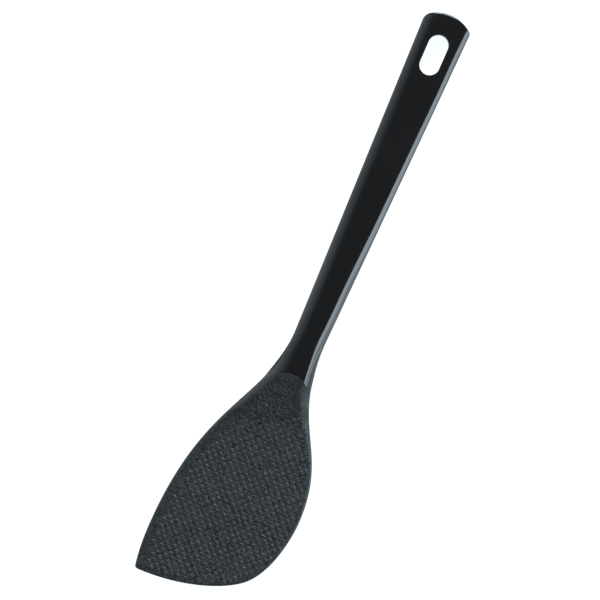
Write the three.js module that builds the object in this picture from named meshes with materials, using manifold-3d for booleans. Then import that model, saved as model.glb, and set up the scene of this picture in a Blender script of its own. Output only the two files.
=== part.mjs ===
// A cooking spatula: a moulded nylon blade whose tang is closed between the two shells of a hollow handle.
// Millimetres. +Y runs up the handle to its hanging end, +X to the right of the front face, +Z out of it.
// Heights are drawn from the crown of the arched seam where the handle ends and the blade begins,
// and the whole is then set with the middle of the handle's flat back on the origin.

import * as THREE from "three";
import { LoftGeometry } from "three/addons/geometries/LoftGeometry.js";
import { mergeVertices } from "three/addons/utils/BufferGeometryUtils.js";
import Module from "manifold-3d";

// Handle outline
const handleLength = 186.2; // from the seam's crown to the hanging end
const neckWidth = 15.7; // at its narrowest place
const neckHeight = 19.2; // of that place above the seam's crown
const endWidth = 23.8; // of the tapering sides, drawn on to the hanging end
const endRadius = 17.8; // of the crowned end
const rightCornerRadius = 1.9;
const leftCornerRadius = 4.7;
const slotLength = 20;
const slotWidth = 9.8;
const slotToEnd = 10.5; // from the slot's round end to the hanging end

// Handle section
const partingHeight = 4.6; // of the parting plane of the shells above the flat back
const frontAtSeam = 10.4; // height of the front face
const frontAtEnd = 8;
const rightRoundNeck = 5.3; // width of the front's rounded long edges
const leftRoundNeck = 6.2;
const frontRoundMiddle = 6.3;
const frontRoundEnd = 4.2;
const roundestHeight = 70; // above the seam's crown, where these edges are widest
const leftWaist = 1.9; // narrowing of the left one at the neck
const waistHeight = 13; // above the seam's crown, where it is narrowest
const waistReach = 18; // over which that runs out both ways
const backRound = 3.6; // width of the back's rounded edges
const endRound = 1.2; // width of the rounded edges across the hanging end
const endTurn = 5.2; // from the hanging end, over which the long edges turn into those
const rightUprightHeight = 40; // above the seam's crown, from which the handle's right side stands upright
const leftUprightHeight = 12;
const leftUprightDepth = 8; // below the crown, from which the left side begins to stand upright
const edgeDrop = 0.44; // drop of the front's rounded edges there, over the right one's width
const edgeArc = 1.15; // radius of their arc, over their width
const partingLand = 0.8; // upright strip along the parting plane
const narrowestFace = 0.7; // half width that a face keeps between its rounded edges
const sharpestCorner = 0.3; // radius that an inner corner keeps

// Seam between handle and blade
const seamRadius = 11.5; // of the arch
const seamFlank = THREE.MathUtils.degToRad(36); // slope of its straight flanks

// Blade outline: where each side reaches furthest, and how far its curve keeps to its end directions
const bladeLength = 113.8; // from the seam's crown to the lowest edge
const rightReach = 30.5;
const rightReachDepth = 63.5; // below the seam's crown
const rightNeckPull = 44.3;
const rightPull = 38.5;
const leftReach = 34.5;
const leftReachDepth = 93;
const leftNeckPull = 37.3;
const leftPull = 65.9;
const tipOffset = 32.5; // of the pointed corner to the left of the axis
const tipRadius = 1.4;
const rightLowerPull = 8.3;
const turnInset = 12; // of the lower right turn from the right reach
const turnRise = 14.6; // of the turn above the lowest edge
const turnSlope = THREE.MathUtils.degToRad(43); // of the edge there
const turnUpperPull = 12.8;
const turnLowerPull = 9.9;
const bottomPull = 23.2;

// Blade section
const rootThickness = 5; // of the plate, drawn on to the seam
const tipThickness = 1.8;
const tipRise = 10.6; // of the back at the lowest edge, above the handle's flat back
const riseCurve = 1.5; // power of the blade's forward bend
const rimThickness = 1.1; // upright strip along the blade's edge
const edgeRound = 1.4; // width of the blade's rounded edge
const throatLength = 21.5; // of the ramp below the seam, on the axis
const throatSkew = 0.45; // the ramp runs further down on the left
const throatCurve = 1.4; // power of the ramp's run-out
const flankStart = 6; // depth at which the neck's flanks begin to narrow
const flankLength = 34; // depth at which they have run out
const rimDepth = 24; // depth at which the rim has come down from the parting plane to the plate's middle
const flankPower = 2; // of the flanks' round section
const rightFlankPower = 1.25; // of the right one's below the seam, which is nearly straight
const flareHeight = 14; // above the seam's crown, where the round section begins to draw out
const flareDepth = 12; // below it, where the section is fully drawn out
const flareRunOut = 16; // over which the blade's edge turns round again, past the throat's length

// Tang and shells
const clearance = 0.3;
const wall = 2.2;
const tangLength = 62;
const tangThickness = 4;
const tangSideRoom = 1.2; // between tang and shell on each side
const tangRoot = 4; // depth of the straight part of the tang in the blade
const mouthWall = 6; // thickness of the shells' end wall at the seam's crown
const lapHeight = 1; // of the lip that laps the shells
const pegDiameter = 3.6;
const pegBossDiameter = 6.8;
const firstPegHeight = 22;
const tangEndToPeg = 11;
const upperPegCount = 2;
const ribThickness = 1.6;

// Fineness of the meshes
const neckSteps = 8;
const cornerSteps = 4;
const endSteps = 6; // on each half of the crowned end
const bladeStations = 40;
const bladeColumns = 20;
const crowding = 0.8; // of the blade's stations towards the seam and the tip
const seamSteps = 16;
const edgeSteps = 60;
const pegSteps = 20;
const curveSegments = 16;
const edgeShares = [0, 0.04, 0.14, 0.32, 0.6, 1]; // across a rounded edge, from the rim to the face
const halvings = 40; // of the interval in which a curve crosses a line
const tallerThanAll = 60;
const mergeDistance = 1e-4;

const { lerp, smoothstep } = THREE.MathUtils;
const plan = (x, y) => new THREE.Vector2(x, y);
const wasm = await Module();
wasm.setup();

// A closed geometry as a solid, with shared vertices and without collapsed triangles.
function solid(geometry) {
  const bare = new THREE.BufferGeometry();
  bare.setAttribute("position", geometry.getAttribute("position"));
  bare.setIndex(geometry.index);
  const merged = mergeVertices(bare, mergeDistance);
  const corners = merged.index.array;
  const triangles = [];
  for (let i = 0; i < corners.length; i += 3) {
    const [a, b, c] = corners.slice(i, i + 3);
    if (a !== b && b !== c && c !== a) triangles.push(a, b, c);
  }
  const vertProperties = new Float32Array(merged.attributes.position.array);
  const triVerts = new Uint32Array(triangles);
  return new wasm.Manifold(new wasm.Mesh({ numProp: 3, vertProperties, triVerts }));
}

// An upright solid over a flat shape.
function prism(shape, low, high) {
  const depth = high - low;
  const geometry = new THREE.ExtrudeGeometry(shape, { depth, bevelEnabled: false, curveSegments });
  return solid(geometry.translate(0, 0, low));
}

function peg(y, diameter, low, high) {
  const geometry = new THREE.CylinderGeometry(diameter / 2, diameter / 2, high - low, pegSteps);
  return solid(geometry.rotateX(Math.PI / 2).translate(0, y, (low + high) / 2));
}

// A shape with straight sides and round ends, upright on the axis.
function obround(width, low, high) {
  const radius = width / 2;
  const shape = new THREE.Shape();
  shape.absarc(0, high - radius, radius, 0, Math.PI);
  shape.absarc(0, low + radius, radius, Math.PI, 2 * Math.PI);
  return shape;
}

// The stretch of a cubic curve between two of its parameters.
function stretch(curve, from, to) {
  const slope = (u) => {
    const first = curve.v1.clone().sub(curve.v0).multiplyScalar(3 * (1 - u) ** 2);
    const middle = curve.v2.clone().sub(curve.v1).multiplyScalar(6 * u * (1 - u));
    const last = curve.v3.clone().sub(curve.v2).multiplyScalar(3 * u ** 2);
    return first.add(middle).add(last).multiplyScalar((to - from) / 3);
  };
  const start = curve.getPoint(from);
  const end = curve.getPoint(to);
  return new THREE.CubicBezierCurve(start, start.clone().add(slope(from)), end.clone().sub(slope(to)), end);
}

// The parameter at which a side curve, followed downwards, passes below a line given as y over x.
function passes(curve, line) {
  let above = 0;
  let below = 1;
  for (let i = 0; i < halvings; i += 1) {
    const middle = (above + below) / 2;
    const point = curve.getPoint(middle);
    if (point.y > line(point.x)) above = middle;
    else below = middle;
  }
  return (above + below) / 2;
}

// Outlines seen from the front: each blade side leaves the neck straight down and turns out to its reach
function sideCurve(side, reach, depth, neckPull, pull) {
  const neck = (side * neckWidth) / 2;
  return new THREE.CubicBezierCurve(
    plan(neck, neckHeight),
    plan(neck, neckHeight - neckPull),
    plan(side * reach, pull - depth),
    plan(side * reach, -depth),
  );
}

const rightSide = sideCurve(1, rightReach, rightReachDepth, rightNeckPull, rightPull);
const leftSide = sideCurve(-1, leftReach, leftReachDepth, leftNeckPull, leftPull);
const tipCorner = plan(-tipOffset, -bladeLength);
const leftReachPoint = plan(-leftReach, -leftReachDepth);
const leftKnee = plan(-leftReach, -(leftReachDepth + bladeLength) / 2);
const tipStart = tipCorner.clone().add(leftKnee.clone().sub(tipCorner).setLength(tipRadius));
const tipEnd = plan(tipCorner.x + tipRadius, tipCorner.y);
const leftLower = new THREE.CubicBezierCurve(
  leftReachPoint,
  leftReachPoint.clone().lerp(leftKnee, 2 / 3),
  tipStart.clone().lerp(leftKnee, 2 / 3),
  tipStart,
);
const tipCurve = new THREE.CubicBezierCurve(
  tipStart,
  tipStart.clone().lerp(tipCorner, 2 / 3),
  tipEnd.clone().lerp(tipCorner, 2 / 3),
  tipEnd,
);
const turn = plan(rightReach - turnInset, turnRise - bladeLength);
const turnAlong = plan(-Math.cos(turnSlope), -Math.sin(turnSlope));
const lowerRight = new THREE.CubicBezierCurve(
  plan(rightReach, -rightReachDepth),
  plan(rightReach, -rightReachDepth - rightLowerPull),
  turn.clone().addScaledVector(turnAlong, -turnUpperPull),
  turn,
);
const bottomEdge = new THREE.CubicBezierCurve(
  turn,
  turn.clone().addScaledVector(turnAlong, turnLowerPull),
  plan(tipEnd.x + bottomPull, tipEnd.y),
  tipEnd,
);

// The seam: an arch over the throat that runs on as two straight flanks
function seamLine(x) {
  const reach = Math.min(Math.abs(x), seamRadius * Math.sin(seamFlank));
  const arch = seamRadius - Math.sqrt(seamRadius ** 2 - reach ** 2);
  return -arch - (Math.abs(x) - reach) * Math.tan(seamFlank);
}

// The skin's sizes along the spatula, where depth is the way down from the seam's crown
const frontPlane = (y) => lerp(frontAtSeam, frontAtEnd, y / handleLength);
const sideTaper = (endWidth - neckWidth) / 2 / (handleLength - neckHeight);
const halfWidth = (y) => neckWidth / 2 + Math.max(0, y - neckHeight) * sideTaper;
const flankShare = (y) => smoothstep(-y, 0, flankLength);
const rimShare = (y) => smoothstep(-y, 0, rimDepth);
const rightUpright = (y) => smoothstep(y, 0, rightUprightHeight);
const leftUpright = (y) => smoothstep(y, -leftUprightDepth, leftUprightHeight);
const upright = (y, side) => (side > 0 ? rightUpright(y) : leftUpright(y));
const drawnOut = (y) => smoothstep(-y, -flareHeight, flareDepth);
const flare = (y) => drawnOut(y) * (1 - smoothstep(-y, throatLength, throatLength + flareRunOut));
const bladeShare = (y) => THREE.MathUtils.clamp(-y / bladeLength, 0, 1);
const bladeBack = (y) => tipRise * bladeShare(y) ** riseCurve;
const bladeFront = (y) => bladeBack(y) + lerp(rootThickness, tipThickness, bladeShare(y));
const rimLevel = (y) => lerp(partingHeight, (bladeBack(y) + bladeFront(y)) / 2, rimShare(y));
const rimHalf = (y) => lerp(partingLand, rimThickness, rimShare(y)) / 2;

// Widths of the rounded edges; the side is 1 on the right and -1 on the left.
function frontRound(y, side) {
  const waist = side > 0 ? 0 : leftWaist * (1 - smoothstep(Math.abs(y - waistHeight), 0, waistReach));
  const neck = side > 0 ? rightRoundNeck : leftRoundNeck;
  const low = lerp(neck, frontRoundMiddle, THREE.MathUtils.clamp(y / roundestHeight, 0, 1));
  const climb = Math.max(0, (y - roundestHeight) / (handleLength - roundestHeight));
  const limited = Math.min(lerp(low, frontRoundEnd, climb) - waist, halfWidth(y) - narrowestFace);
  return lerp(limited, edgeRound, smoothstep(-y, flankStart, flankLength));
}

// Width of the front's rounded edge that sets its drop on the handle's rim, round the hanging end as well.
function rimRound(y) {
  return lerp(frontRound(y, 1), endRound, smoothstep(y, handleLength - endTurn, handleLength - endTurn / 2));
}

function backEdgeRound(y) {
  return lerp(Math.min(backRound, halfWidth(y) - narrowestFace), edgeRound, flankShare(y));
}

// How far the skin has risen across an edge: round on the handle, drawn out on the neck's flanks.
function edgeRise(share, y, side) {
  const left = 1 - Math.min(share, 1);
  const radius = lerp(1, edgeArc, upright(y, side));
  const foot = Math.sqrt(radius ** 2 - 1);
  const round = (Math.sqrt(radius ** 2 - left ** 2) - foot) / (radius - foot);
  const power = side > 0 ? lerp(flankPower, rightFlankPower, smoothstep(-y, 0, flankStart)) : flankPower;
  return lerp(round, 1 - left ** power, flare(y));
}

// Height of the skin between the rim and the front face or the back, whose rounded edge has a given width.
function frontSkin(face, share, y, side, width) {
  const rim = lerp(rimLevel(y) + rimHalf(y), face - edgeDrop * width, upright(y, side));
  return lerp(rim, face, edgeRise(share, y, side));
}

function backSkin(face, share, y, side) {
  return lerp(rimLevel(y) - rimHalf(y), face, edgeRise(share, y, side));
}

// One side of the handle's outline, from a given height up to the middle of the hanging end. It is drawn in
// by an inset that follows the height, and the hanging end by one of its own.
function handleSideLine(side, lowest, insetAt, endInset) {
  const neck = plan(neckWidth / 2 - insetAt(neckHeight, side), neckHeight);
  const up = plan(endWidth / 2 - insetAt(handleLength, side), handleLength).sub(neck).normalize();
  const inward = plan(-up.y, up.x);
  const crownRadius = endRadius - endInset;
  const crownCentre = plan(0, handleLength - endRadius);
  const cornerRadius = Math.max((side > 0 ? rightCornerRadius : leftCornerRadius) - endInset, sharpestCorner);
  const start = neck.clone().addScaledVector(inward, cornerRadius).sub(crownCentre);
  const run = start.dot(up);
  const climb = Math.sqrt(run ** 2 - start.lengthSq() + (crownRadius - cornerRadius) ** 2) - run;
  const corner = start.addScaledVector(up, climb);
  const crownAngle = corner.angle();
  corner.add(crownCentre);
  const arc = (centre, radius, from, to, steps) =>
    new THREE.EllipseCurve(centre.x, centre.y, radius, radius, from, to).getPoints(steps);
  const turned = arc(corner, cornerRadius, inward.angle() - Math.PI, crownAngle, cornerSteps).slice(0, -1);
  const crown = arc(crownCentre, crownRadius, crownAngle, Math.PI / 2, endSteps);
  const upper = [...turned, ...crown].map((point) => plan(side * point.x, point.y));

  const curve = side > 0 ? rightSide : leftSide;
  const last = passes(curve, () => lowest);
  const lower = [];
  for (let i = neckSteps; i >= 0; i -= 1) {
    const u = (last * i) / neckSteps;
    const point = curve.getPoint(u);
    const along = curve.getTangent(u);
    lower.push(point.addScaledVector(plan(along.y, -along.x), side * insetAt(point.y, side)));
  }
  return [...lower, ...upper];
}

// The handle's outline down to a given height, counterclockwise.
function handleLoop(lowest, insetAt, endInset) {
  const [right, left] = [1, -1].map((side) => handleSideLine(side, lowest, insetAt, endInset));
  return [...right, ...left.reverse().slice(1)];
}

// The handle's form, drawn in by an inset all round: the outside at 0, the hollow at the wall.
function handleForm(inset, lowest) {
  const outline = handleLoop(lowest, () => 0, 0);
  const width = (round) => Math.max(round - inset, sharpestCorner);
  const loop = (share, round, height) => {
    const insetAt = (y, side) => inset + width(round(y, side)) * share;
    const points = handleLoop(lowest, insetAt, inset + width(endRound) * share);
    return points.map(({ x, y }, i) => {
      const side = outline[i].x < 0 ? -1 : 1;
      return new THREE.Vector3(x, y, height(y, share, outline[i].y, side));
    });
  };
  const backHeight = (y, share, rimY, side) => backSkin(inset, share, rimY, side);
  const frontHeight = (y, share, rimY, side) =>
    frontSkin(frontPlane(y) - inset, share, rimY, side, width(rimRound(rimY)));
  const back = edgeShares.map((share) => loop(share, backEdgeRound, backHeight));
  const front = edgeShares.map((share) => loop(share, frontRound, frontHeight));
  return solid(new LoftGeometry([...back.reverse(), ...front], { capStart: true, capEnd: true }));
}

// An upright band along the handle's wall, between two insets.
function wallBand(outer, inner, low, high) {
  const loop = (inset) => handleLoop(mouthWall - wall + inset, () => inset, inset);
  const shape = new THREE.Shape(loop(outer));
  shape.holes.push(new THREE.Path(loop(inner)));
  return prism(shape, low, high);
}

// Everything on the handle's side of the seam.
function handleSide() {
  const gap = clearance / Math.cos(seamFlank);
  const far = 2 * handleLength;
  const wide = 2 * endWidth;
  const low = seamLine(wide) + gap;
  const from = Math.PI / 2 + seamFlank;
  const to = Math.PI / 2 - seamFlank;
  const arch = new THREE.EllipseCurve(0, gap - seamRadius, seamRadius, seamRadius, from, to, true);
  const edge = [plan(-wide, low), ...arch.getPoints(seamSteps), plan(wide, low)];
  const shape = new THREE.Shape([...edge, plan(wide, far), plan(-wide, far)]);
  return prism(shape, -tallerThanAll, tallerThanAll);
}

// The tang, grown on all sides by a room for the pocket that holds it.
function tangForm(room) {
  const half = neckWidth / 2 - wall - tangSideRoom + room;
  const shape = obround(2 * half, -tangRoot - half, tangLength + room);
  return prism(shape, partingHeight - tangThickness / 2 - room, partingHeight + tangThickness / 2 + room);
}

const slotHigh = handleLength - slotToEnd;
const slotLow = slotHigh - slotLength;
const tangPegs = [firstPegHeight, tangLength - tangEndToPeg];
const upperPegs = [];
for (let i = 1; i <= upperPegCount; i += 1) {
  upperPegs.push(lerp(tangLength, slotLow - wall, i / (upperPegCount + 1)));
}
const pegHeights = [...tangPegs, ...upperPegs];
const ribHeights = pegHeights.slice(1).map((height, i) => (height + pegHeights[i]) / 2);
const socketTop = (y) => frontPlane(y) - wall;

// What stiffens both shells inside: a collar round the slot, ribs and bosses for the pegs.
function stiffeners(outside) {
  const wide = endWidth;
  let inside = prism(obround(slotWidth + 2 * wall, slotLow - wall, slotHigh + wall), 0, tallerThanAll);
  for (const height of ribHeights) {
    const rib = new THREE.BoxGeometry(wide, ribThickness, tallerThanAll);
    inside = inside.add(solid(rib.translate(0, height, 0)));
  }
  for (const height of pegHeights) inside = inside.add(peg(height, pegBossDiameter, 0, tallerThanAll));
  return inside.intersect(outside);
}

function handleShells() {
  const outside = handleForm(0, 2 * seamLine(neckWidth));
  const slot = prism(obround(slotWidth, slotLow, slotHigh), -tallerThanAll, tallerThanAll);
  const hollow = handleForm(wall, mouthWall);
  const body = outside
    .subtract(hollow)
    .add(stiffeners(outside))
    .subtract(slot)
    .subtract(tangForm(clearance))
    .intersect(handleSide());
  const layer = (low, high) => {
    const slab = new THREE.BoxGeometry(2 * endWidth, 4 * handleLength, high - low);
    return solid(slab.translate(0, 0, (low + high) / 2));
  };

  let front = body.intersect(layer(partingHeight + clearance / 2, tallerThanAll));
  const lapTop = partingHeight + lapHeight;
  const rebate = wallBand((wall - clearance) / 2, wall + tangSideRoom, 0, lapTop + clearance);
  front = front.subtract(rebate);
  for (const height of pegHeights) {
    front = front.subtract(peg(height, pegDiameter + 2 * clearance, 0, socketTop(height)));
  }

  let rear = body.intersect(layer(-tallerThanAll, partingHeight - clearance / 2));
  const lip = wallBand((wall + clearance) / 2, wall, partingHeight - lapHeight, lapTop);
  rear = rear.add(lip.subtract(tangForm(clearance)));
  for (const height of pegHeights) {
    rear = rear.add(peg(height, pegDiameter, wall / 2, socketTop(height) - clearance));
  }
  return { front, rear };
}

// The blade's edges from the seam to the middle of the pointed corner
const halfTip = (from, to) => stretch(tipCurve, from, to);
const rightEdge = new THREE.CurvePath();
rightEdge.curves.push(stretch(rightSide, passes(rightSide, seamLine), 1), lowerRight, bottomEdge);
rightEdge.curves.push(halfTip(1, 0.5));
const leftEdge = new THREE.CurvePath();
leftEdge.curves.push(stretch(leftSide, passes(leftSide, seamLine), 1), leftLower, halfTip(0, 0.5));

const leftUpwards = [stretch(leftLower, 1, 0), stretch(leftSide, 1, 0)];
const wholeEdge = [rightSide, lowerRight, bottomEdge, halfTip(1, 0), ...leftUpwards];
const edgeLine = wholeEdge.flatMap((curve) => curve.getPoints(edgeSteps));

// Distance of a point on the blade from the outline.
function edgeDistance(point) {
  let nearest = Infinity;
  for (let i = 1; i < edgeLine.length; i += 1) {
    const start = edgeLine[i - 1];
    const along = edgeLine[i].clone().sub(start);
    const length = Math.max(along.lengthSq(), mergeDistance ** 2);
    const share = THREE.MathUtils.clamp(point.clone().sub(start).dot(along) / length, 0, 1);
    nearest = Math.min(nearest, point.distanceTo(start.clone().addScaledVector(along, share)));
  }
  return nearest;
}

// Height of the blade's front away from its edges: a ramp from the seam's crest, then the plate.
function bladeFace(point) {
  const start = seamLine(point.x);
  const end = Math.min(throatSkew * point.x - throatLength, start - edgeRound);
  const share = THREE.MathUtils.clamp((start - point.y) / (start - end), 0, 1);
  return lerp(bladeFront(point.y), frontPlane(start), (1 - share) ** throatCurve);
}

// One closed section across the blade, between matching points of its two edges.
function bladeSection(station) {
  const even = station / bladeStations;
  const share = even - (crowding * Math.sin(2 * Math.PI * even)) / (2 * Math.PI);
  const left = leftEdge.getPoint(share);
  const right = rightEdge.getPoint(share);
  const seamLeft = leftEdge.getPoint(0);
  const seamRight = rightEdge.getPoint(0);
  const arched = 1 - smoothstep(-(left.y + right.y) / 2, -seamLeft.y, throatLength + seamRadius);
  const back = [];
  const front = [];
  for (let i = 0; i <= bladeColumns; i += 1) {
    const across = (1 - Math.cos((Math.PI * i) / bladeColumns)) / 2;
    const place = left.clone().lerp(right, across);
    const chord = seamLeft.clone().lerp(seamRight, across);
    place.y += (seamLine(chord.x) - chord.y) * arched;
    const onEdge = i === 0 || i === bladeColumns || station === bladeStations;
    const distance = onEdge ? 0 : edgeDistance(place);
    const side = i < bladeColumns / 2 ? -1 : 1;
    const low = backSkin(bladeBack(place.y), distance / backEdgeRound(place.y), place.y, side);
    const round = frontRound(place.y, side);
    const high = frontSkin(bladeFace(place), distance / round, place.y, side, rimRound(place.y));
    back.push(new THREE.Vector3(place.x, place.y, low));
    front.push(new THREE.Vector3(place.x, place.y, high));
  }
  return [...back, ...front.reverse()];
}

function bladeWithTang() {
  const sections = [];
  for (let station = 0; station <= bladeStations; station += 1) sections.push(bladeSection(station));
  const seamFace = sections[0].map((point) => new THREE.Vector3(point.x, point.y, rimLevel(point.y)));
  let blade = solid(new LoftGeometry([seamFace, ...sections])).add(tangForm(0));
  for (const height of tangPegs) {
    blade = blade.subtract(peg(height, pegDiameter + 2 * clearance, -tallerThanAll, tallerThanAll));
  }
  return blade;
}

function mesh(name, body, material) {
  const { vertProperties, triVerts } = body.getMesh();
  const geometry = new THREE.BufferGeometry();
  geometry.setAttribute("position", new THREE.BufferAttribute(vertProperties, 3));
  geometry.setIndex(new THREE.BufferAttribute(triVerts, 1));
  geometry.computeVertexNormals();
  const part = new THREE.Mesh(geometry, material);
  part.name = name;
  return part;
}

const mattNylon = new THREE.MeshStandardMaterial({ color: 0x33383b, roughness: 0.6, metalness: 0 });
const frontGloss = new THREE.MeshStandardMaterial({ color: 0x1c1d1f, roughness: 0.15, metalness: 0 });
const rearGloss = new THREE.MeshStandardMaterial({ color: 0x1c1d1f, roughness: 0.2, metalness: 0 });

const shells = handleShells();
const spatula = new THREE.Group();
spatula.position.y = -handleLength / 2;
spatula.add(mesh("blade", bladeWithTang(), mattNylon));
spatula.add(mesh("handle_front_shell", shells.front, frontGloss));
spatula.add(mesh("handle_rear_shell", shells.rear, rearGloss));

export default spatula;
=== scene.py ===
import bisect
import math
import random
import bpy
import bmesh
from mathutils import Matrix, Vector, kdtree


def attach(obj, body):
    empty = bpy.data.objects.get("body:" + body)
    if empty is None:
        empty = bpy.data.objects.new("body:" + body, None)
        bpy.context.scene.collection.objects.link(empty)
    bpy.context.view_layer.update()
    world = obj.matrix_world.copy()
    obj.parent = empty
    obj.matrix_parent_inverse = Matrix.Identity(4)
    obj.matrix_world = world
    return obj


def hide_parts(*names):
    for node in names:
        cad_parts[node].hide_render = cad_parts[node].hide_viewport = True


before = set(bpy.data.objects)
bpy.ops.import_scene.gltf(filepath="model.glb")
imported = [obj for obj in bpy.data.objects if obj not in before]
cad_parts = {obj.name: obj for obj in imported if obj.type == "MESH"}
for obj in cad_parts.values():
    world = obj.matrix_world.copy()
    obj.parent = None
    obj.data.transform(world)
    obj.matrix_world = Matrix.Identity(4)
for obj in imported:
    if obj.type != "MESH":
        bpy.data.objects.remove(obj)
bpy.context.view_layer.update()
scene = bpy.context.scene
scene.view_settings.view_transform = "Standard"
mm = 0.001
weld = 1e-7  # points nearer than this, in metres, are one
tiny = 1e-9  # guards against rounding
print("frame loaded:", ", ".join(sorted(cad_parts)))

# outline seen from the front, in mm; y counts up the handle from the top of the arched seam
form = {
    "handleLength": 186.2,
    "neckHeight": 19.2,
    "neckHalf": 7.85,
    "endHalf": 11.9,
    "endRadius": 17.8,
    "corners": {1: 1.9, -1: 4.7},  # radius right and left
    "tightest": 0.3,  # radius that a drawn-in corner keeps
    "seamRadius": 11.5,
    "seamFlank": math.radians(36),
    "bladeLength": 113.8,
    "rightReach": 30.5,
    "rightDepth": 63.5,
    "rightPulls": (44.3, 38.5, 8.3),  # from the neck, above the reach, below it
    "leftReach": 34.5,
    "leftDepth": 93,
    "leftPulls": (37.3, 65.9),
    "turn": (18.5, -99.2),  # of the lower right edge
    "turnSlope": math.radians(43),
    "turnPulls": (12.8, 9.9),
    "tipOffset": 32.5,
    "tipRadius": 1.4,
    "bottomPull": 23.2,
    "traceSteps": 900,
    "halvings": 40,  # of the stretch in which a curve crosses a line
}
originHeight = form["handleLength"] / 2  # the frame's origin lies under the middle of the handle


def mix(a, b, share):
    return a + (b - a) * share


def ease(value, start, end):
    share = min(max((value - start) / (end - start), 0), 1)
    return share * share * (3 - 2 * share)


def curvePoint(curve, u):
    a, b, c, d = curve
    v = 1 - u
    return a * v ** 3 + b * 3 * u * v ** 2 + c * 3 * u ** 2 * v + d * u ** 3


def sideCurve(side, reach, depth, neckPull, pull):
    neck = side * form["neckHalf"]
    top = form["neckHeight"]
    widest = side * reach
    points = (neck, top), (neck, top - neckPull), (widest, pull - depth), (widest, -depth)
    return [Vector(p) for p in points]


# a curve that runs from start to end and bends towards the corner between them
def rounded(start, corner, end):
    return [start, start.lerp(corner, 2 / 3), end.lerp(corner, 2 / 3), end]


rightSide = sideCurve(1, form["rightReach"], form["rightDepth"], *form["rightPulls"][:2])
leftSide = sideCurve(-1, form["leftReach"], form["leftDepth"], *form["leftPulls"])
tipCorner = Vector((-form["tipOffset"], -form["bladeLength"]))
leftKnee = Vector((-form["leftReach"], -(form["leftDepth"] + form["bladeLength"]) / 2))
tipStart = tipCorner + (leftKnee - tipCorner).normalized() * form["tipRadius"]
tipEnd = tipCorner + Vector((form["tipRadius"], 0))
leftLower = rounded(leftSide[3], leftKnee, tipStart)
tipCurve = rounded(tipStart, tipCorner, tipEnd)
turn = Vector(form["turn"])
turnAlong = Vector((-math.cos(form["turnSlope"]), -math.sin(form["turnSlope"])))
lowerRight = [
    rightSide[3],
    rightSide[3] - Vector((0, form["rightPulls"][2])),
    turn - turnAlong * form["turnPulls"][0],
    turn,
]
bottomEdge = [
    turn,
    turn + turnAlong * form["turnPulls"][1],
    tipEnd + Vector((form["bottomPull"], 0)),
    tipEnd,
]


def seamLine(x):
    flank = form["seamFlank"]
    reach = min(abs(x), form["seamRadius"] * math.sin(flank))
    arch = form["seamRadius"] - math.sqrt(form["seamRadius"] ** 2 - reach ** 2)
    return -arch - (abs(x) - reach) * math.tan(flank)


def crossing(curve, line):
    above, below = 0, 1  # the curve is followed downwards
    for _ in range(form["halvings"]):
        middle = (above + below) / 2
        point = curvePoint(curve, middle)
        if point.y > line(point.x):
            above = middle
        else:
            below = middle
    return (above + below) / 2


def traced(*pieces):
    line = []
    for curve, start, end in pieces:
        steps = form["traceSteps"]
        line += [curvePoint(curve, mix(start, end, i / steps)) for i in range(steps + 1)]
    return line


def edgeTree(line):
    tree = kdtree.KDTree(len(line))
    for i, point in enumerate(line):
        tree.insert(point.to_3d(), i)
    tree.balance()
    return tree


leftLine = traced((leftSide, 0, 1), (leftLower, 0, 1), (tipCurve, 0, 0.5))
rightLine = traced((rightSide, 0, 1), (lowerRight, 0, 1), (bottomEdge, 0, 1), (tipCurve, 1, 0.5))
leftTree = edgeTree(leftLine)
rightTree = edgeTree(rightLine)
bladeRing = leftLine + rightLine[::-1]


def edgeDistances(x, y):
    point = Vector((x, y, 0))
    return leftTree.find(point)[2], rightTree.find(point)[2]


def place(x, y, z):
    return Vector((x, y - originHeight, z)) * mm


# how the skin runs, in mm
skin = {
    "parting": 4.6,  # height of the plane where the handle's shells meet
    "frontAtSeam": 10.4,
    "frontAtEnd": 8,
    # width of the front's rounded edges, right and left: at the neck, higher up and towards the hanging end
    "neckRounds": {1: 5.3, -1: 6.2},
    "middleRounds": {1: 6.0, -1: 6.3},
    "upperRounds": {1: 4.35, -1: 4.2},
    "middleHeight": 70,
    # where they swell or draw in: by how much, at what height and over what reach
    "swells": {1: ((2.0, 42, 40), (0.85, 168, 22), (-0.55, 8, 16)), -1: ((-1.9, 13, 18),)},
    "crownRound": 0.8,  # width of the front's rounded edge across the hanging end
    "crownTurn": 5.2,  # from the hanging end, over which the long edges turn into that one
    "backRound": 3.6,
    "upright": {1: (0, 40), -1: (-8, 12)},  # heights between which a side turns upright below its edge
    "edgeDrop": 0.44,  # drop of those edges over the right one's width
    "edgeArc": 1.15,  # radius of their arc over their width
    "partingLand": 0.8,  # upright strip along the parting plane
    "narrowestFace": 0.7,  # half of what a face keeps between its rounded edges
    "shoulder": {1: 3.8, -1: 0},  # how much the front's rounded edge bulges next to the side
    "shoulderPower": 14,  # the higher, the nearer to the side
    "shoulderRunOut": -10,  # height below the seam's crown at which it has run out
    "rootThickness": 5,
    "tipThickness": 1.8,
    "tipRise": 10.6,
    "riseCurve": 1.5,
    "rimThickness": 1.1,
    "edgeRound": 1.4,
    "throatLength": 21.5,
    "throatSkew": 0.45,
    "throatCurve": 1.4,
    "flankStart": 6,
    "flankLength": 34,
    "flankPower": {1: 1.25, -1: 2},  # of the flanks' section below the seam, nearly straight and round
    "rimDepth": 24,
    # depths where the round section starts to draw out and has done so, and over what length that runs out
    "flare": (-14, 12, 16),
}


def frontPlane(y):
    return mix(skin["frontAtSeam"], skin["frontAtEnd"], y / form["handleLength"])


def halfWidth(y):
    climb = max(0, y - form["neckHeight"]) / (form["handleLength"] - form["neckHeight"])
    return mix(form["neckHalf"], form["endHalf"], climb)


def flare(y):
    start, full, runOut = skin["flare"]
    throat = skin["throatLength"]
    return ease(-y, start, full) * (1 - ease(-y, throat, throat + runOut))


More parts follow.
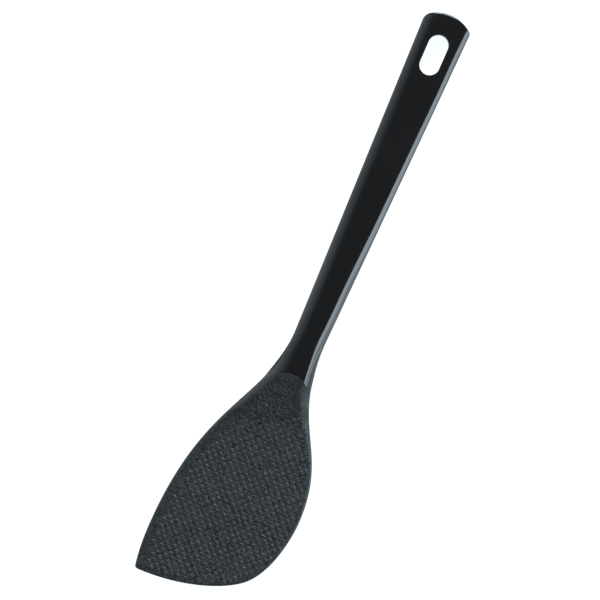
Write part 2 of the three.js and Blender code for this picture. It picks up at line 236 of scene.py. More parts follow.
def bladeBack(y):
    return skin["tipRise"] * min(max(-y / form["bladeLength"], 0), 1) ** skin["riseCurve"]


def bladeFront(y):
    share = min(max(-y / form["bladeLength"], 0), 1)
    return bladeBack(y) + mix(skin["rootThickness"], skin["tipThickness"], share)


# the side is 1 on the right and -1 on the left
def frontRound(y, side):
    swell = sum(by * (1 - ease(abs(y - height), 0, reach)) for by, height, reach in skin["swells"][side])
    middle = skin["middleHeight"]
    low = mix(skin["neckRounds"][side], skin["middleRounds"][side], min(max(y / middle, 0), 1))
    climb = max(0, (y - middle) / (form["handleLength"] - middle))
    width = mix(low, skin["upperRounds"][side], climb) + swell
    limited = min(width, halfWidth(y) - skin["narrowestFace"])
    return mix(limited, skin["edgeRound"], ease(-y, skin["flankStart"], skin["flankLength"]))


# the same on both sides, but called as frontRound is
def backRound(y, side):
    limited = min(skin["backRound"], halfWidth(y) - skin["narrowestFace"])
    return mix(limited, skin["edgeRound"], ease(-y, 0, skin["flankLength"]))


def rimHeight(y, upDown):
    lowered = ease(-y, 0, skin["rimDepth"])
    level = mix(skin["parting"], (bladeBack(y) + bladeFront(y)) / 2, lowered)
    return level + upDown * mix(skin["partingLand"], skin["rimThickness"], lowered) / 2


def edgeRise(share, y, side):
    left = 1 - min(share, 1)
    arc = mix(1, skin["edgeArc"], ease(y, *skin["upright"][side]))
    foot = math.sqrt(arc ** 2 - 1)
    rounding = (math.sqrt(arc ** 2 - left ** 2) - foot) / (arc - foot)
    power = mix(2, skin["flankPower"][side], ease(-y, 0, skin["flankStart"]))
    return mix(rounding, 1 - left ** power, flare(y))


def frontSkin(face, share, y, side):
    fromEnd = form["handleLength"] - y
    onSide = ease(fromEnd, skin["crownTurn"] / 2, skin["crownTurn"])
    width = mix(skin["crownRound"], frontRound(y, 1), onSide)
    upright = face - skin["edgeDrop"] * width
    rim = mix(rimHeight(y, 1), upright, ease(y, *skin["upright"][side]))
    left = 1 - min(share, 1)
    bulge = skin["shoulder"][side] * left ** skin["shoulderPower"] * (1 - left)
    bulge *= onSide * ease(y, skin["shoulderRunOut"], 0)
    return mix(rim, face, edgeRise(share, y, side) + bulge)


def backSkin(face, share, y, side):
    return mix(rimHeight(y, -1), face, edgeRise(share, y, side))


def throatEnd(x):
    return skin["throatSkew"] * x - skin["throatLength"]


def bladeFace(x, y):
    start = seamLine(x)
    end = min(throatEnd(x), start - skin["edgeRound"])
    share = min(max((start - y) / (start - end), 0), 1)
    return mix(bladeFront(y), frontPlane(start), (1 - share) ** skin["throatCurve"])


# a grid whose every point is put in its place, with the points that meet merged
def mouldedSheet(columns, rows, where):
    bm = bmesh.new()
    bmesh.ops.create_grid(bm, x_segments=columns, y_segments=rows, size=1)
    for v in bm.verts:
        column = round((v.co.x + 1) / 2 * columns)
        row = round((v.co.y + 1) / 2 * rows)
        v.co = where(column, row)
    bmesh.ops.remove_doubles(bm, verts=bm.verts, dist=weld)
    bmesh.ops.dissolve_degenerate(bm, edges=bm.edges, dist=weld / 10)
    return bm


def finishPiece(bm, name, material, node, sharpFrom):
    bmesh.ops.recalc_face_normals(bm, faces=bm.faces)
    mesh = bpy.data.meshes.new(name)
    bm.to_mesh(mesh)
    bm.free()
    mesh.shade_smooth()
    mesh.set_sharp_from_angle(angle=sharpFrom)
    mesh.materials.append(material)
    piece = bpy.data.objects.new(name, mesh)
    scene.collection.objects.link(piece)
    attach(piece, "root")
    if node:
        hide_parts(node)
    print("made", name, "with", len(mesh.polygons), "faces")


# one step of arithmetic among nodes, on numbers or on what other nodes give
def calc(nodes, links, operation, *values):
    node = nodes.new("ShaderNodeMath")
    node.operation = operation
    for socket, value in zip(node.inputs, values):
        if isinstance(value, (int, float)):
            socket.default_value = value
        else:
            links.new(value, socket)
    return node.outputs[0]


grainNoise = {
    "heightDetail": 1,
    "shadeDetail": 2,
    "reach": (0.3, 0.7),  # between which most of its values lie
}


# fine moulded grain: a height for the bump, a shade whose scale is a share of the grain's own,
# and a speck that is even within each small cell
def grainGroup():
    group = bpy.data.node_groups.new("mouldGrain", "ShaderNodeTree")
    for name in ("Scale", "Shade Share"):
        group.interface.new_socket(name, in_out="INPUT", socket_type="NodeSocketFloat")
    for name in ("Height", "Shade", "Speck"):
        group.interface.new_socket(name, in_out="OUTPUT", socket_type="NodeSocketFloat")
    nodes, links = group.nodes, group.links
    entry = nodes.new("NodeGroupInput")
    leave = nodes.new("NodeGroupOutput")
    spot = nodes.new("ShaderNodeTexCoord")
    fine = nodes.new("ShaderNodeTexNoise")
    fine.inputs["Detail"].default_value = grainNoise["heightDetail"]
    coarse = nodes.new("ShaderNodeTexNoise")
    coarse.inputs["Detail"].default_value = grainNoise["shadeDetail"]
    cells = nodes.new("ShaderNodeTexVoronoi")
    level = nodes.new("ShaderNodeSeparateColor")
    shadeScale = calc(nodes, links, "MULTIPLY", entry.outputs["Scale"], entry.outputs["Shade Share"])
    links.new(spot.outputs["Object"], cells.inputs["Vector"])
    links.new(entry.outputs["Scale"], cells.inputs["Scale"])
    links.new(cells.outputs["Color"], level.inputs["Color"])
    links.new(level.outputs["Red"], leave.inputs["Speck"])
    links.new(spot.outputs["Object"], fine.inputs["Vector"])
    links.new(spot.outputs["Object"], coarse.inputs["Vector"])
    links.new(entry.outputs["Scale"], fine.inputs["Scale"])
    links.new(shadeScale, coarse.inputs["Scale"])
    links.new(fine.outputs["Fac"], leave.inputs["Height"])
    links.new(coarse.outputs["Fac"], leave.inputs["Shade"])
    return group


grain = grainGroup()


def newMaterial(name):
    material = bpy.data.materials.new(name)
    material.use_nodes = True
    nodes = material.node_tree.nodes
    links = material.node_tree.links
    return material, nodes, links, nodes["Principled BSDF"]


def grainNode(nodes, scale, shadeShare=1):
    node = nodes.new("ShaderNodeGroup")
    node.node_tree = grain
    node.inputs["Scale"].default_value = scale
    node.inputs["Shade Share"].default_value = shadeShare
    return node


def shadeRamp(nodes, links, source, dark, light, low, high):
    ramp = nodes.new("ShaderNodeValToRGB")
    ramp.color_ramp.elements[0].position = low
    ramp.color_ramp.elements[0].color = (*dark, 1)
    ramp.color_ramp.elements[1].position = high
    ramp.color_ramp.elements[1].color = (*light, 1)
    links.new(source, ramp.inputs["Fac"])
    return ramp.outputs["Color"]


def spread(nodes, links, source, least, most, low, high):
    node = nodes.new("ShaderNodeMapRange")
    node.inputs["From Min"].default_value = low
    node.inputs["From Max"].default_value = high
    node.inputs["To Min"].default_value = least
    node.inputs["To Max"].default_value = most
    links.new(source, node.inputs["Value"])
    return node.outputs["Result"]


nylonIor = 1.5

glossNylon = {
    "dark": (0.0100, 0.0093, 0.0094),
    "light": (0.0116, 0.0109, 0.0110),
    "roughness": (0.07, 0.13),
    "waveScale": 140,
    "waveShade": 0.3,
    "wave": 0.004,  # strength of the slight waves in the moulded face
    "waveDepth": 1,
    "fineScale": 4200,
    "fineShade": 0.1,
}


def glossMaterial():
    material, nodes, links, shader = newMaterial("glossNylon")
    flow = grainNode(nodes, glossNylon["waveScale"], glossNylon["waveShade"])
    fine = grainNode(nodes, glossNylon["fineScale"], glossNylon["fineShade"])
    dark, light = glossNylon["dark"], glossNylon["light"]
    colour = shadeRamp(nodes, links, flow.outputs["Shade"], dark, light, *grainNoise["reach"])
    roughness = spread(nodes, links, fine.outputs["Shade"], *glossNylon["roughness"], *grainNoise["reach"])
    links.new(colour, shader.inputs["Base Color"])
    links.new(roughness, shader.inputs["Roughness"])
    shader.inputs["IOR"].default_value = nylonIor
    bump = nodes.new("ShaderNodeBump")
    bump.inputs["Strength"].default_value = glossNylon["wave"]
    bump.inputs["Distance"].default_value = glossNylon["waveDepth"] * mm
    links.new(flow.outputs["Height"], bump.inputs["Height"])
    links.new(bump.outputs["Normal"], shader.inputs["Normal"])
    return material


mattNylon = {
    "dark": (0.0035, 0.0038, 0.0040),
    "light": (0.0225, 0.0241, 0.0246),
    "dotPaintedHighlight": 1.55,  # the dots' colour is painted paler than the ground between them, a painted highlight for the light their rims catch
    "roughness": (0.25, 0.69),
    "dotRoughness": (0.22, 0.48),  # and smoother
    "fieldScale": 1800,
    "fieldGrain": 0.28,  # strength of the grain, and its depth in mm
    "fieldDepth": 0.6,
    "throatScale": 760,
    "throatGrain": 0.66,
    "throatDepth": 1.8,
    "throatPaintedShade": 0.08,  # share of the field's colour that is left in the throat: painted shade where the ramp turns away from the light
    "throatFade": 4.0,  # half the length over which that turns into the field
    "throatMiddle": -1.1,
    "flankFrom": 5.4,  # distance of the plain flanks from the throat's middle, at the seam's crown
    "flankLean": 0.36,  # how much further apart they are for each mm below that
    "flankFade": 2.0,
}


# 0 on one side of a slanting line and 1 on the other
def slantMask(nodes, links, main, other, share, start, fade):
    slant = calc(nodes, links, "MULTIPLY_ADD", other, share, main)
    return spread(nodes, links, slant, 0, 1, start - fade, start + fade)


# 1 in the throat, which ends along the slanting foot of the ramp and clear of the flanks; there the colour
# is darkened as painted shade and the grain is coarser
def throatShadeAndGrainMask(nodes, links):
    spot = nodes.new("ShaderNodeTexCoord")
    split = nodes.new("ShaderNodeSeparateXYZ")
    links.new(spot.outputs["Object"], split.inputs["Vector"])
    across, along = split.outputs["X"], split.outputs["Y"]
    rampEnd = (-skin["throatLength"] - originHeight) * mm
    rampFade = mattNylon["throatFade"] * mm
    onRamp = slantMask(nodes, links, along, across, -skin["throatSkew"], rampEnd, rampFade)
    offMiddle = calc(nodes, links, "SUBTRACT", across, mattNylon["throatMiddle"] * mm)
    offAxis = calc(nodes, links, "ABSOLUTE", offMiddle)
    flankEdge = (mattNylon["flankFrom"] - mattNylon["flankLean"] * originHeight) * mm
    flankFade = -mattNylon["flankFade"] * mm
    offFlank = slantMask(nodes, links, offAxis, along, mattNylon["flankLean"], flankEdge, flankFade)
    return calc(nodes, links, "MULTIPLY", onRamp, offFlank)


def mattMaterial(name, paintedLift, roughness):
    material, nodes, links, shader = newMaterial(name)
    field = grainNode(nodes, mattNylon["fieldScale"])
    throat = grainNode(nodes, mattNylon["throatScale"])
    # colours scaled by the painted lift; above 1 it paints a highlight
    dark, light = ([paintedLift * c for c in mattNylon[key]] for key in ("dark", "light"))
    colour = shadeRamp(nodes, links, field.outputs["Speck"], dark, light, 0, 1)
    links.new(spread(nodes, links, field.outputs["Speck"], *roughness, 0, 1), shader.inputs["Roughness"])
    shader.inputs["IOR"].default_value = nylonIor
    fine = nodes.new("ShaderNodeBump")
    fine.inputs["Strength"].default_value = mattNylon["fieldGrain"]
    fine.inputs["Distance"].default_value = mattNylon["fieldDepth"] * mm
    links.new(field.outputs["Height"], fine.inputs["Height"])
    shadeAndGrainMask = throatShadeAndGrainMask(nodes, links)
    # painted shade: the field's colour is darkened in the throat
    shaded = nodes.new("ShaderNodeMix")
    shaded.data_type = "RGBA"
    shaded.blend_type = "MULTIPLY"
    shaded.inputs["B"].default_value = [mattNylon["throatPaintedShade"]] * 3 + [1]
    links.new(shadeAndGrainMask, shaded.inputs["Factor"])
    links.new(colour, shaded.inputs["A"])
    links.new(shaded.outputs["Result"], shader.inputs["Base Color"])
    coarse = nodes.new("ShaderNodeBump")
    coarse.inputs["Distance"].default_value = mattNylon["throatDepth"] * mm
    links.new(calc(nodes, links, "MULTIPLY", shadeAndGrainMask, mattNylon["throatGrain"]), coarse.inputs["Strength"])
    links.new(throat.outputs["Height"], coarse.inputs["Height"])
    links.new(fine.outputs["Normal"], coarse.inputs["Normal"])
    links.new(coarse.outputs["Normal"], shader.inputs["Normal"])
    return material


glossy = glossMaterial()
matt = mattMaterial("mattNylon", 1, mattNylon["roughness"])
# the dots get a paler copy of the matt nylon: a painted highlight
dotMatt = mattMaterial("mattNylonDots", mattNylon["dotPaintedHighlight"], mattNylon["dotRoughness"])

handle = {
    "neckRows": 16,
    "sideRows": 44,
    "cornerRows": 7,
    "crownRows": 16,
    "roundRows": 14,
    "spineRows": 4,
    "partingGap": 0.06,
    "seamGap": 0.1,
    "seamEdge": (0.25, 2),  # width of the rounded edge, and its segments
    "seamNear": 0.1,  # an edge within this of the seam belongs to it
    # how far down from the front face that edge is rounded, and how far below the parting plane
    # it has to be on the back
    "seamReach": (0.3, 0.5),
    "slotWidth": 9.8,
    "slotLow": 155.7,
    "slotHigh": 175.7,
    "slotSegments": 64,
    "slotRim": (0.3, 3),  # width of its rounded rim, and segments
    "slotNear": 0.15,  # an edge within this of the slot's outline, and of a face, is on the rim
    "faceNear": 0.3,
    "cutFrom": -20,  # heights between which the slot is cut
    "cutTo": 30,
    "slotCrease": math.radians(60),  # edges with a lesser turn are no rim
    "seamCrease": math.radians(50),
    "sharpFrom": math.radians(40),
}


# one line round the shell, from the right of the seam over the hanging end to the left,
# drawn in by a share of the rounded edge
def shellLine(share, roundAt):
    left = sideLine(-1, share, roundAt)
    return sideLine(1, share, roundAt) + left[-2::-1]


def sideLine(side, share, roundAt):
    top = form["neckHeight"]
    length = form["handleLength"]
    endInset = skin["crownRound"] * share
    neck = Vector((form["neckHalf"] - roundAt(top, side) * share, top))
    up = (Vector((form["endHalf"] - roundAt(length, side) * share, length)) - neck).normalized()
    inward = Vector((-up.y, up.x))
    crownCentre = Vector((0, length - form["endRadius"]))
    crownRadius = form["endRadius"] - endInset
    cornerRadius = max(form["corners"][side] - endInset, form["tightest"])
    start = neck + inward * cornerRadius - crownCentre
    run = start.dot(up)
    climb = math.sqrt(run ** 2 - start.length_squared + (crownRadius - cornerRadius) ** 2) - run
    corner = start + up * climb
    crownAngle = math.atan2(corner.y, corner.x)
    corner += crownCentre
    cornerStart = corner - inward * cornerRadius
    sideAngle = math.atan2(-inward.y, -inward.x)
    upper = [neck.lerp(cornerStart, i / handle["sideRows"]) for i in range(handle["sideRows"])]
    for i in range(handle["cornerRows"]):
        turn = mix(sideAngle, crownAngle, i / handle["cornerRows"])
        upper.append(corner + Vector((math.cos(turn), math.sin(turn))) * cornerRadius)
    for i in range(handle["crownRows"] + 1):
        turn = mix(crownAngle, math.pi / 2, i / handle["crownRows"])
        upper.append(crownCentre + Vector((math.cos(turn), math.sin(turn))) * crownRadius)
    return neckLine(side, share, roundAt) + [Vector((side * p.x, p.y)) for p in upper]


# the flared stretch between seam and neck, where the lines lean over from the arch to the level
def neckLine(side, share, roundAt):
    curve = rightSide if side > 0 else leftSide
    line = []
    gap = handle["seamGap"]
    lowest = curvePoint(curve, crossing(curve, lambda x: seamLine(x) + gap)).y
    for i in range(handle["neckRows"]):
        climb = i / handle["neckRows"]
        height = mix(lowest, form["neckHeight"], climb)
        rim = curvePoint(curve, crossing(curve, lambda x: height))
        spine = Vector((0, mix(gap, form["neckHeight"], climb)))
        inset = roundAt(rim.y, side) * share / abs(rim.x)
        point = rim.lerp(spine, inset)
        line.append(point + Vector((0, archBulge(point.x, rim.x, lowest, gap) * (1 - climb))))
    return line


def archBulge(x, rimX, lowest, gap):
    seamX = abs(rimX)
    chord = mix(gap, lowest, min(abs(x) / seamX, 1))
    return max(seamLine(x) + gap - chord, 0) if abs(x) < seamX else 0


def spineHeights():
    gap = handle["seamGap"]
    top = form["neckHeight"]
    line = shellLine(0, frontRound)
    pole = line[handle["neckRows"] + handle["sideRows"]].y
    rows = [mix(gap, top, i / handle["neckRows"]) for i in range(handle["neckRows"])]
    rows += [mix(top, pole, i / handle["sideRows"]) for i in range(handle["sideRows"])]
    rows += [pole] * (handle["cornerRows"] + handle["crownRows"] + 1)
    return rows + rows[-2::-1]


def shellSheet(front):
    roundAt = frontRound if front else backRound
    shares = [1 - math.cos(math.pi / 2 * k / handle["roundRows"]) for k in range(handle["roundRows"] + 1)]
    lines = [shellLine(share, roundAt) for share in shares]
    spine = spineHeights()
    around = len(spine) - 1

    def where(column, row):
        side = 1 if column < around / 2 else -1
        neckRow = min(column, around - column)
        onNeck = neckRow < handle["neckRows"]
        if row <= handle["roundRows"]:
            point = lines[row][column]
            share = shares[row]
        else:
            inward = (row - handle["roundRows"]) / handle["spineRows"]
            edge = lines[-1][column]
            point = edge.lerp(Vector((0, spine[column])), inward)
            share = 1
            if onNeck:
                curve = rightSide if side > 0 else leftSide
                gap = handle["seamGap"]
                low = curvePoint(curve, crossing(curve, lambda x: seamLine(x) + gap))
                level = 1 - neckRow / handle["neckRows"]
                arched = archBulge(point.x, low.x, low.y, gap)
                already = archBulge(edge.x, low.x, low.y, gap) * (1 - inward)
                point = point + Vector((0, (arched - already) * level))
        y = lines[0][column].y
        if onNeck:  # measured as on the blade, so that both are flush at the seam
            y = point.y
            share = min(edgeDistances(point.x, y)) / roundAt(y, side) if row else 0
        height = frontSkin(frontPlane(point.y), share, y, side) if front else backSkin(0, share, y, side)
        return place(point.x, point.y, height)

    return mouldedSheet(around, handle["roundRows"] + handle["spineRows"], where)


def slotCutter():
    bm = bmesh.new()
    radius = handle["slotWidth"] / 2
    bmesh.ops.create_circle(bm, cap_ends=True, segments=handle["slotSegments"], radius=radius * mm)
    upper = [v for v in bm.verts if v.co.y > -tiny]
    straight = handle["slotHigh"] - handle["slotLow"] - 2 * radius
    bmesh.ops.translate(bm, verts=upper, vec=(0, straight * mm, 0))
    bmesh.ops.translate(bm, verts=bm.verts, vec=place(0, handle["slotLow"] + radius, handle["cutFrom"]))
    out = bmesh.ops.extrude_face_region(bm, geom=bm.faces[:])
    lifted = [v for v in out["geom"] if isinstance(v, bmesh.types.BMVert)]
    bmesh.ops.translate(bm, verts=lifted, vec=(0, 0, (handle["cutTo"] - handle["cutFrom"]) * mm))
    bmesh.ops.recalc_face_normals(bm, faces=bm.faces)
    mesh = bpy.data.meshes.new("slotCutter")
    bm.to_mesh(mesh)
    bm.free()
    cutter = bpy.data.objects.new("slotCutter", mesh)
    scene.collection.objects.link(cutter)
    return cutter


# the slot goes through the closed shell with a boolean, and the result comes back as a bmesh
def slotted(bm):
    bmesh.ops.recalc_face_normals(bm, faces=bm.faces)
    mesh = bpy.data.meshes.new("shellBlank")
    bm.to_mesh(mesh)
    bm.free()
    blank = bpy.data.objects.new("shellBlank", mesh)
    scene.collection.objects.link(blank)
    cutter = slotCutter()
    cut = blank.modifiers.new("slot", "BOOLEAN")
    cut.operation = "DIFFERENCE"
    cut.solver = "EXACT"
    cut.object = cutter
    seen = blank.evaluated_get(bpy.context.evaluated_depsgraph_get())
    result = bmesh.new()
    result.from_mesh(seen.to_mesh())
    seen.to_mesh_clear()
    for spare in (blank, cutter):
        data = spare.data
        bpy.data.objects.remove(spare)
        bpy.data.meshes.remove(data)
    return result


def softened(bm, edges, width, segments):
    bmesh.ops.bevel(
        bm, geom=edges, offset=width * mm, offset_type="OFFSET", segments=segments,
        profile=0.5, affect="EDGES", clamp_overlap=True, material=-1,
    )


def creases(bm, least):
    return [e for e in bm.edges if len(e.link_faces) == 2 and e.calc_face_angle() >= least]


def slotRimEdges(bm, front):
    radius = handle["slotWidth"] / 2
    near = handle["faceNear"]
    found = []
    for e in creases(bm, handle["slotCrease"]):
        middle = (e.verts[0].co + e.verts[1].co) / 2 / mm
        y = middle.y + originHeight
        nearest = min(max(y, handle["slotLow"] + radius), handle["slotHigh"] - radius)
        onSlot = abs(math.hypot(middle.x, y - nearest) - radius) < handle["slotNear"]
        onFace = middle.z > frontPlane(y) - near if front else middle.z < near
        if onSlot and onFace:
            found.append(e)
    return found


# creased edges that run along the seam, at some distance above it
def alongSeam(bm, gap, near):
    def offSeam(v):
        return abs(v.co.y / mm + originHeight - seamLine(v.co.x / mm) - gap)

    return [e for e in creases(bm, handle["seamCrease"]) if all(offSeam(v) < near for v in e.verts)]


def seamEdges(bm, front):
    belowFace, belowParting = handle["seamReach"]
    found = []
    for e in alongSeam(bm, handle["seamGap"], handle["seamNear"]):
        lowest = min(v.co.z for v in e.verts) / mm
        if (lowest > frontPlane(0) - belowFace) if front else (lowest < skin["parting"] - belowParting):
            found.append(e)
    return found


def makeShell(front):
    bm = shellSheet(front)
    rim = [e for e in bm.edges if e.is_boundary]
    skirt = bmesh.ops.extrude_edge_only(bm, edges=rim)["geom"]
    level = skin["parting"] + (handle["partingGap"] / 2 if front else -handle["partingGap"] / 2)
    for v in skirt:
        if isinstance(v, bmesh.types.BMVert):
            v.co.z = level * mm
    bmesh.ops.holes_fill(bm, edges=[e for e in bm.edges if e.is_boundary], sides=0)
    bm = slotted(bm)
    softened(bm, slotRimEdges(bm, front), *handle["slotRim"])
    softened(bm, seamEdges(bm, front), *handle["seamEdge"])
    sharpFrom = handle["sharpFrom"]
    if front:
        finishPiece(bm, "handleFront", glossy, "handle_front_shell", sharpFrom)
    else:
        finishPiece(bm, "handleRear", glossy, "handle_rear_shell", sharpFrom)


makeShell(True)
makeShell(False)

blade = {
    "rows": 110,
    "columns": 56,
    "crowding": 0.8,  # of the rows towards the seam and the tip
    "crest": 0.15,  # the blade's edge at the seam is drawn this far above the seam's line
    "crestEdge": (0.3, 3),  # width of its rounding, and segments
    "crestNear": 0.05,
    "sharpFrom": math.radians(60),
}


def bladeEdgeLine(side, lower, tipFrom):
    start = crossing(side, lambda x: seamLine(x) + blade["crest"])
    line = traced((side, start, 1), *((curve, 0, 1) for curve in lower), (tipCurve, tipFrom, 0.5))
    lengths = [0]
    for a, b in zip(line, line[1:]):
        lengths.append(lengths[-1] + (b - a).length)
    return line, lengths


def edgePoint(edge, share):
    line, lengths = edge
    target = share * lengths[-1]
    i = min(max(bisect.bisect_left(lengths, target), 1), len(line) - 1)
    gap = max(lengths[i] - lengths[i - 1], tiny)
    return line[i - 1].lerp(line[i], (target - lengths[i - 1]) / gap)


def makeBlade():
    leftEdge = bladeEdgeLine(leftSide, [leftLower], 0)
    rightEdge = bladeEdgeLine(rightSide, [lowerRight, bottomEdge], 1)
    seamLeft = edgePoint(leftEdge, 0)
    seamRight = edgePoint(rightEdge, 0)
    rows, columns = blade["rows"], blade["columns"]
    spots = {}

    def spot(row, column):
        if (row, column) not in spots:
            even = row / rows
            share = even - blade["crowding"] * math.sin(2 * math.pi * even) / (2 * math.pi)
            left, right = edgePoint(leftEdge, share), edgePoint(rightEdge, share)
            depth = -(left.y + right.y) / 2
            arched = 1 - ease(depth, -seamLeft.y, skin["throatLength"] + form["seamRadius"])
            across = (1 - math.cos(math.pi * column / columns)) / 2
            point = left.lerp(right, across)
            chord = seamLeft.lerp(seamRight, across)
            point.y += (seamLine(chord.x) + blade["crest"] - chord.y) * arched
            onEdge = column in (0, columns) or row == rows
            distance = 0 if onEdge else min(edgeDistances(point.x, point.y))
            side = -1 if column < columns / 2 else 1
            x, y = point
            low = backSkin(bladeBack(y), distance / backRound(y, side), y, side)
            high = frontSkin(bladeFace(x, y), distance / frontRound(y, side), y, side)
            spots[row, column] = (point, low, high)
        return spots[row, column]

    # round the section: back from left to right, front from right to left;
    # the first row closes the face at the seam
    def where(column, row):
        turn = column % (2 * columns + 2)
        onBack = turn <= columns
        point, low, high = spot(max(row - 1, 0), turn if onBack else 2 * columns + 1 - turn)
        if row == 0:
            return place(point.x, point.y, (low + high) / 2)
        return place(point.x, point.y, low if onBack else high)

    bm = mouldedSheet(2 * columns + 2, rows + 1, where)
    bmesh.ops.recalc_face_normals(bm, faces=bm.faces)
    least = frontPlane(0) - handle["seamReach"][0]
    atSeam = alongSeam(bm, blade["crest"], blade["crestNear"])
    crest = [e for e in atSeam if all(v.co.z / mm > least for v in e.verts)]
    softened(bm, crest, *blade["crestEdge"])
    finishPiece(bm, "bladePlate", matt, "blade", blade["sharpFrom"])


makeBlade()

dots = {
    "start": (-2.818, -27.43),  # one place of the slanting grid, its two steps and how many each way
    "stepA": (1.951, 1.907),
    "stepB": (-1.872, 1.968),
    "steps": 60,
    "flatRadius": 0.72,
    "radius": 1.04,
    "height": 0.16,
    "throatHeight": 0.08,  # the dots next to the throat are lower
    "rise": 26,  # from the throat, over which they gain their height
    "sunk": 0.03,
    "leftMargin": 5.0,
    "rightMargin": 1.8,
    "throatMargin": 1.2,
    "segments": 10,
    "rings": 3,
    "seed": 5,
    "heightSpread": 0.2,
    "sizeSpread": 0.08,
    "shift": 0.06,
    "lean": math.radians(3),
    "probe": 0.1,  # either side of a dot, between which the blade's slope is taken
    "sharpFrom": math.radians(60),
}


# a flat-topped bump with an easy flank, spun from half its section
def dotBump():
    bm = bmesh.new()
    section = [bm.verts.new((0, 0, dots["height"] * mm))]
    for k in range(dots["rings"] + 1):
        run = k / dots["rings"]
        height = mix(dots["height"], -dots["sunk"], ease(run, 0, 1))
        section.append(bm.verts.new((mix(dots["flatRadius"], dots["radius"], run) * mm, 0, height * mm)))
    lines = [bm.edges.new(pair) for pair in zip(section, section[1:])]
    bmesh.ops.spin(
        bm, geom=section + lines, cent=(0, 0, 0), axis=(0, 0, 1), angle=2 * math.pi,
        steps=dots["segments"], use_merge=True,
    )
    bmesh.ops.remove_doubles(bm, verts=bm.verts, dist=weld)
    bmesh.ops.holes_fill(bm, edges=[e for e in bm.edges if e.is_boundary], sides=0)
    bmesh.ops.recalc_face_normals(bm, faces=bm.faces)
    mesh = bpy.data.meshes.new("dotBump")
    bm.to_mesh(mesh)
    bm.free()
    return mesh


def dotPlaces():
    a, b, start = Vector(dots["stepA"]), Vector(dots["stepB"]), Vector(dots["start"])
    found = []
    steps = range(-dots["steps"], dots["steps"])
    for i in steps:
        for j in steps:
            point = start + a * i + b * j
            if not -form["bladeLength"] < point.y < 0 or abs(point.x) > form["leftReach"]:
                continue
            if point.y > throatEnd(point.x) - dots["throatMargin"]:
                continue
            fromLeft, fromRight = edgeDistances(point.x, point.y)
            if fromLeft > dots["leftMargin"] and fromRight > dots["rightMargin"] and onBlade(point):
                found.append(point)
    return found


# a point is on the blade if a level line to its right crosses the outline an odd number of times
def onBlade(point):
    crossings = 0
    for a, b in zip(bladeRing, bladeRing[1:]):
        if (a.y > point.y) != (b.y > point.y):
            crossings += point.x < mix(a.x, b.x, (point.y - a.y) / (b.y - a.y))
    return crossings % 2 == 1


def makeDots():
    bump = dotBump()
    bm = bmesh.new()
    places = dotPlaces()
    chance = random.Random(dots["seed"])

    def about(reach):
        return chance.uniform(-reach, reach)

    for point in places:
        point += Vector((about(dots["shift"]), about(dots["shift"])))
        z = bladeFace(point.x, point.y)
        probe = dots["probe"]
        slope = (bladeFace(point.x, point.y + probe) - bladeFace(point.x, point.y - probe)) / (2 * probe)
        pitch = Matrix.Rotation(math.atan(slope) + about(dots["lean"]), 4, "X")
        roll = Matrix.Rotation(about(dots["lean"]), 4, "Y")
        size = 1 + about(dots["sizeSpread"])
        fromThroat = throatEnd(point.x) - point.y
        height = mix(dots["throatHeight"] / dots["height"], 1, ease(fromThroat, 0, dots["rise"]))
        shape = Matrix.Diagonal((size, size, height * (1 + about(dots["heightSpread"])), 1))
        copy = bump.copy()
        copy.transform(Matrix.Translation(place(point.x, point.y, z)) @ pitch @ roll @ shape)
        bm.from_mesh(copy)
        bpy.data.meshes.remove(copy)
    bpy.data.meshes.remove(bump)
    print("dots:", len(places))
    finishPiece(bm, "bladeDots", dotMatt, None, dots["sharpFrom"])


makeDots()

# floor, light and camera
studio = {
    "tilt": math.radians(23.667),  # the handle leans to the right of the picture's upright
    "centre": (-11.59, -59.39),
    "viewWidth": 285,
    "viewLevel": 6,  # height at which the picture is that wide
    "lens": 320,
    "clipEnd": 100,
    "tint": (0.78, 0.91, 1.0),
    "leftSky": 1.1,  # strength of the sky's left half, and of its rim
    "horizon": 0.5,
    "horizonPower": 6,  # the higher, the lower the rim
    "wattsForRadiance": 4,  # on each square metre of a lamp, for a radiance of 1
    "floorSize": 20,
    "floorDrop": 0.3,
    "floorGrey": 0.9,
    "floorGlow": 1.22,
    "floorTint": (0.9, 0.96, 1.0),
    "floorShadow": 0.15,  # share of the lit floor, with its shadow, in what is seen of it
}

# soft boxes, in metres
sideBox = {
    "radiance": 5.7,
    "length": 0.75,
    "place": (0.92, 0.225),
    # each band from its lower to its upper height, and its share of the light; the dim one keeps
    # the face of the handle black where it is seen from the left
    "bands": ((0.6, 0.9, 1), (0.36, 0.6, 0.9), (0.13, 0.36, 0.42), (0, 0.13, 0.65)),
}
otherBoxes = {  # radiance, size, place and what each one faces
    "endBox": (12.8, (0.6, 0.6), (-0.19, 0.985, 0.9), (0, 0, 0)),
    "cornerBox": (3.1, (0.6, 0.4), (0.66, -0.66, 0.62), (0, -0.12, 0)),
    "bladeBox": (3.0, (1.6, 0.22), (-0.1, -1.2, 0.12), (0, -0.2, 0)),
}


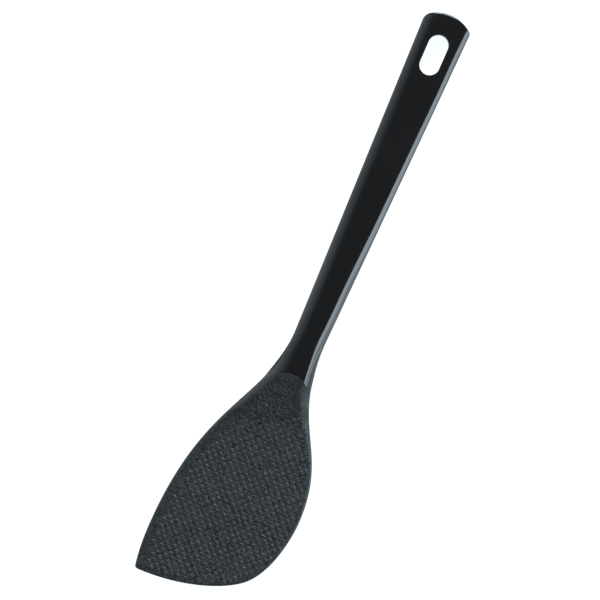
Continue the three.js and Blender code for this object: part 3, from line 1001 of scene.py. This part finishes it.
def makeFloor():
    bm = bmesh.new()
    bmesh.ops.create_grid(bm, x_segments=1, y_segments=1, size=studio["floorSize"])
    bmesh.ops.translate(bm, verts=bm.verts, vec=(0, 0, -studio["floorDrop"] * mm))
    mesh = bpy.data.meshes.new("floor")
    bm.to_mesh(mesh)
    bm.free()
    floor = bpy.data.objects.new("floor", mesh)
    scene.collection.objects.link(floor)
    material = bpy.data.materials.new("paleFloor")
    material.use_nodes = True
    nodes, links = material.node_tree.nodes, material.node_tree.links
    nodes.clear()
    out = nodes.new("ShaderNodeOutputMaterial")
    lit = nodes.new("ShaderNodeBsdfDiffuse")
    lit.inputs["Color"].default_value = [studio["floorGrey"]] * 3 + [1]
    white = nodes.new("ShaderNodeEmission")
    white.inputs["Color"].default_value = (*studio["floorTint"], 1)
    white.inputs["Strength"].default_value = studio["floorGlow"]
    rays = nodes.new("ShaderNodeLightPath")
    seen = calc(nodes, links, "MAXIMUM", rays.outputs["Is Camera Ray"], rays.outputs["Is Glossy Ray"])
    anySeen = calc(nodes, links, "MAXIMUM", seen, rays.outputs["Is Transmission Ray"])
    amount = calc(nodes, links, "MULTIPLY", anySeen, 1 - studio["floorShadow"])
    blend = nodes.new("ShaderNodeMixShader")
    links.new(amount, blend.inputs["Fac"])
    links.new(lit.outputs["BSDF"], blend.inputs[1])
    links.new(white.outputs["Emission"], blend.inputs[2])
    links.new(blend.outputs["Shader"], out.inputs["Surface"])
    mesh.materials.append(material)


def softBox(name, radiance, size, spot, aim):
    lamp = bpy.data.lights.new(name, "AREA")
    lamp.shape = "RECTANGLE"
    lamp.size, lamp.size_y = size
    lamp.energy = radiance * studio["wattsForRadiance"] * size[0] * size[1]
    lamp.color = studio["tint"]
    box = bpy.data.objects.new(name, lamp)
    scene.collection.objects.link(box)
    box.location = spot
    box.rotation_euler = (Vector(aim) - Vector(spot)).to_track_quat("-Z", "Y").to_euler()
    box.visible_camera = False


def makeWorld():
    world = bpy.data.worlds.new("studioWorld")
    world.use_nodes = True
    scene.world = world
    nodes, links = world.node_tree.nodes, world.node_tree.links
    sky = nodes["Background"]
    spot = nodes.new("ShaderNodeTexCoord")
    split = nodes.new("ShaderNodeSeparateXYZ")
    links.new(spot.outputs["Generated"], split.inputs["Vector"])

    def step(operation, first, second):
        return calc(nodes, links, operation, first, second)

    toLeft = step("MAXIMUM", step("MULTIPLY", split.outputs["X"], -1), 0)
    left = step("MULTIPLY", toLeft, studio["leftSky"])
    low = step("SUBTRACT", 1, step("MAXIMUM", split.outputs["Z"], 0))
    rim = step("MULTIPLY", step("POWER", low, studio["horizonPower"]), studio["horizon"])
    links.new(step("ADD", left, rim), sky.inputs["Strength"])
    sky.inputs["Color"].default_value = (*studio["tint"], 1)


def makeCamera():
    data = bpy.data.cameras.new("camera")
    data.lens = studio["lens"]
    data.clip_end = studio["clipEnd"]
    camera = bpy.data.objects.new("camera", data)
    scene.collection.objects.link(camera)
    away = studio["viewWidth"] * studio["lens"] / data.sensor_width
    x, y = studio["centre"]
    camera.location = (x * mm, y * mm, (away + studio["viewLevel"]) * mm)
    camera.rotation_euler = (0, 0, studio["tilt"])
    scene.camera = camera


makeFloor()
for low, high, share in sideBox["bands"]:
    x, y = sideBox["place"]
    height = (low + high) / 2
    size = (sideBox["length"], high - low)
    softBox("sideBox", sideBox["radiance"] * share, size, (x, y, height), (0, y, height))
for name, box in otherBoxes.items():
    softBox(name, *box)
makeWorld()
makeCamera()
print("stage set")
